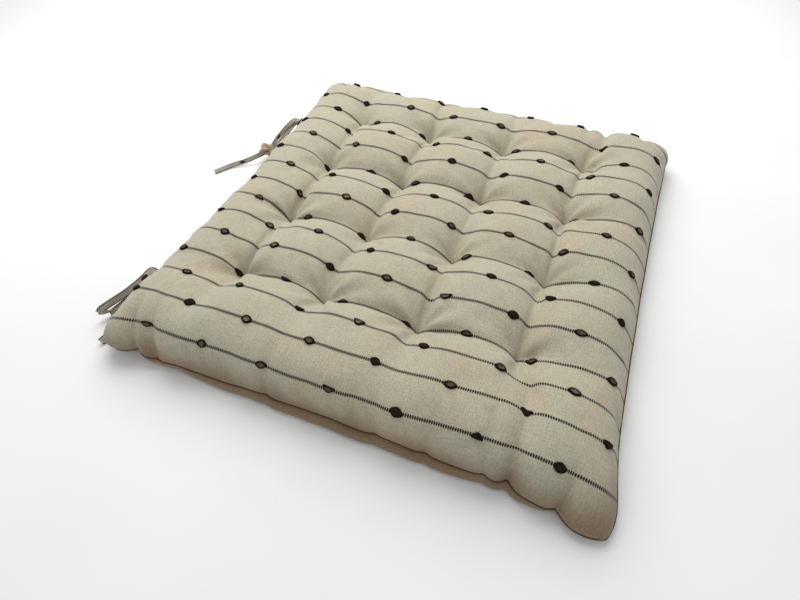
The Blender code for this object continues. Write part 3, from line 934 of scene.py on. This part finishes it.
def tape_material(name, dark, light, marks=1.0):
    """Tape of the cover's cloth: its weave, a barred stripe near each edge, and a dark knot of cord now and
    then."""
    material, start, shader = new_material(name, roughness=0.92, sheen_weight=0.25, specular_ior_level=0.12)
    across, along = cloth_places(start)
    tone, height = weave(start, across, along)
    base = (tone * 0.9 + 0.5).between(0.0, 1.0).mixed(dark, light)
    bars = abs((along / BAR).fraction() - 0.5)
    stripe = (1 - bars.between(0.28, 0.36)) * (1 - abs(abs(across) - 0.0031).between(0.0004, 0.0008))
    off = ((along / KNOT_STEP).fraction() - 0.5) * (KNOT_STEP / 0.0038)
    knot = 1 - (off * off + (across / 0.0022) ** 2).between(0.75, 1.05)
    mask = stripe.higher(knot) * marks
    connect(mask.mixed(base, DARK), shader, "Base Color")
    connect(bump(start, (height * 0.4 + mask * 0.6), 0.0006, 0.6), shader, "Normal")
    return material


tape_cloth = tape_material("tie_tape", (0.31, 0.275, 0.215), (0.50, 0.455, 0.37))
knot_cloth = tape_material("tie_knot_cloth", (0.32, 0.22, 0.15), (0.53, 0.40, 0.29), 0.0)


def make_tie(side, layer, phase):
    """The tape along its route: the route's share of height is between lying on the floor and the root."""
    name = f"{side}_{layer}"
    points = [(TIE_X[side] + dx, TIE_ROOT_Y + dy, TIE_REST_Z + share * (ROOT_HEIGHT[layer] - TIE_REST_Z))
              for dx, dy, share in (INSIDE_SEAM, *TIE_ROUTES[name])]
    path, length = smooth_path(points, 0.0015)
    turns = TAPE_TURNS[name]
    at = np.linspace(0, 1, len(path))
    level = np.radians(np.interp(at, [t[0] for t in turns], [t[1] for t in turns]))
    level += np.radians(4) * np.sin(at * 23 + phase * 40)
    profile = tape_profile(TAPE_WIDTH[side])
    shell, faces = carried(path, profile, level)
    lowest = shell[..., 2].min(1)
    shell[..., 2] += np.maximum(0.0004 - lowest, 0)[:, None]
    across = profile[None, :, 0] * TAPE_CLOTH / TAPE_WIDTH[side]
    cloth = np.stack(np.broadcast_arrays(across, (at * length + phase)[:, None]), -1)
    piece = new_mesh(f"{name}_tie_tape", shell, faces, cloth=cloth)
    return finished(piece, "tie_cloth", tape_cloth, f"{side}_tie_{layer}"), shell.mean(1), length, points[1]


def make_knot():
    """A short tape tied round both strands: a trefoil, whose path is sin t + 2 sin 2t, cos t - 2 cos 2t and
    -sin 3t."""
    t = np.linspace(0, 2 * np.pi, 72, endpoint=False)
    path = np.stack([np.sin(t) + 2 * np.sin(2 * t), np.cos(t) - 2 * np.cos(2 * t), -1.2 * np.sin(3 * t)], -1)
    path = path * (0.0024, 0.0021, 0.0024) + (TIE_X["right"] - 0.0565, TIE_ROOT_Y + 0.0100, 0.0135)
    profile = round_profile(0.0021, 10) * (1.25, 0.9)
    shell, faces = carried(path, profile, closed=True)
    cloth = np.stack(np.broadcast_arrays(profile[None, :, 0], (np.arange(72) * 0.0009 + 0.02)[:, None]), -1)
    piece = new_mesh("right_tie_knot", shell, faces, cloth=cloth)
    return finished(piece, "tie_cloth", knot_cloth)


def make_tack(side):
    """Dense stitching over the root of a pair: a zigzag across the pair, between the pad's edge and the
    tapes."""
    run = np.linspace(0, 1, 57)
    zigzag = 2 * abs((run * 14) % 1 - 0.5) * 2 - 1
    path = np.stack([TIE_X[side] + 0.0105 * (run - 0.5), 0.1996 + 0.0022 * (1 - zigzag**2),
                     0.0158 + 0.0042 * zigzag], -1)
    points, faces = carried(path, round_profile(0.00035, 6), level=0.3)
    piece = new_mesh(f"{side}_tie_bar_tack", points, faces)
    return finished(piece, "seam_thread", brown_thread, f"{side}_tie_stitching")


tacks = {side: make_tack(side) for side in TIE_X}
knot = make_knot()
# Side, layer, and how far along the cloth the strip starts, which places its knots of cord.
TIES = (("right", "upper", 0.039), ("right", "lower", 0.034),
        ("left", "upper", 0.009), ("left", "lower", 0.021))
for side, layer, phase in TIES:
    tape, path, length, root = make_tie(side, layer, phase)
    pieces = [tacks[side]] * (layer == "upper") + [knot] * (side == "right" and layer == "upper")
    print(tape.name, "length", round(length, 3), "m")

# %% [markdown]
# ## Floor and light
# The pad lies on a plain pale floor. A broad lamp high behind the back edge and to the far side lights the
# tops of the pillows and leaves the near side in soft shade, and a pale sky fills the rest.

# %% Floor
floor_points = np.array([[-3, -3, 0], [3, -3, 0], [3, 3, 0], [-3, 3, 0]], float)
floor = new_mesh("floor", floor_points, [[0, 1, 2, 3]])
floor_paint, start, shader = new_material("pale_floor", roughness=0.9, specular_ior_level=0.1)
place = start.node("ShaderNodeTexCoord", output=3)
mottle = start.node("ShaderNodeTexNoise", None, {"Vector": place, "Scale": 6.0, "Detail": 3.0})
connect(mottle.between(0.3, 0.7).mixed((0.93, 0.93, 0.93), (0.96, 0.96, 0.955)), shader, "Base Color")
floor.data.materials.append(floor_paint)

# %% Light
world = bpy.data.worlds.new("studio")
bpy.context.scene.world = world
world.use_nodes = True
world.node_tree.nodes["Background"].inputs["Color"].default_value = (0.95, 0.975, 1.0, 1)
world.node_tree.nodes["Background"].inputs["Strength"].default_value = 0.55


def lamp(name, place, watts, size, colour):
    light = bpy.data.lights.new(name, "AREA")
    light.energy, light.size, light.color = watts, size, colour
    stand = bpy.data.objects.new(name, light)
    stand.location = place
    stand.rotation_euler = (Vector((0, 0, 0)) - Vector(place)).to_track_quat("-Z", "Y").to_euler()
    bpy.context.scene.collection.objects.link(stand)


lamp("high back lamp", (0.45, 0.27, 0.76), 8.2, 0.9, (1.0, 0.985, 0.96))
bpy.context.scene.view_settings.view_transform = "Standard"
